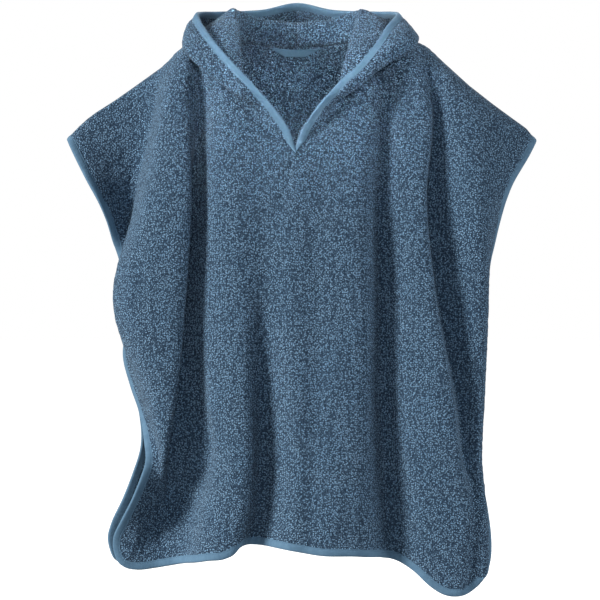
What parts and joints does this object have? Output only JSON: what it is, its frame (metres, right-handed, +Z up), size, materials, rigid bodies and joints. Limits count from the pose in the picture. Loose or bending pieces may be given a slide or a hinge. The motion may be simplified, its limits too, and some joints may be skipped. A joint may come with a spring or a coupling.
{
  "type": "hooded bath poncho",
  "caption": "Worn, hollow hooded bath poncho in terry towelling: open V neck with the hood thrown back, open sleeves, side slits, rounded hem and a folded binding round every edge.",
  "frame": {"origin": "middle of the neck base, at the height where the shoulders carry the poncho", "axes": "+X to the wearer's left, which is the viewer's right from the front; +Y towards the back; +Z up"},
  "size_m": [0.6027, 0.2365, 0.7643],
  "materials": {
    "terry": "looped cotton pile, matt, mid steel blue",
    "binding": "plain woven cotton tape, folded over the edge and topstitched",
    "loop_tape": "the same woven cotton tape, lying flat"
  },
  "bodies": {
    "root": {"front_panel": "terry", "back_panel": "terry", "hood_left": "terry", "hood_right": "terry", "front_binding": "binding", "back_binding": "binding", "hood_binding": "binding", "hanging_loop": "loop_tape"}
  },
  "joints": []
}
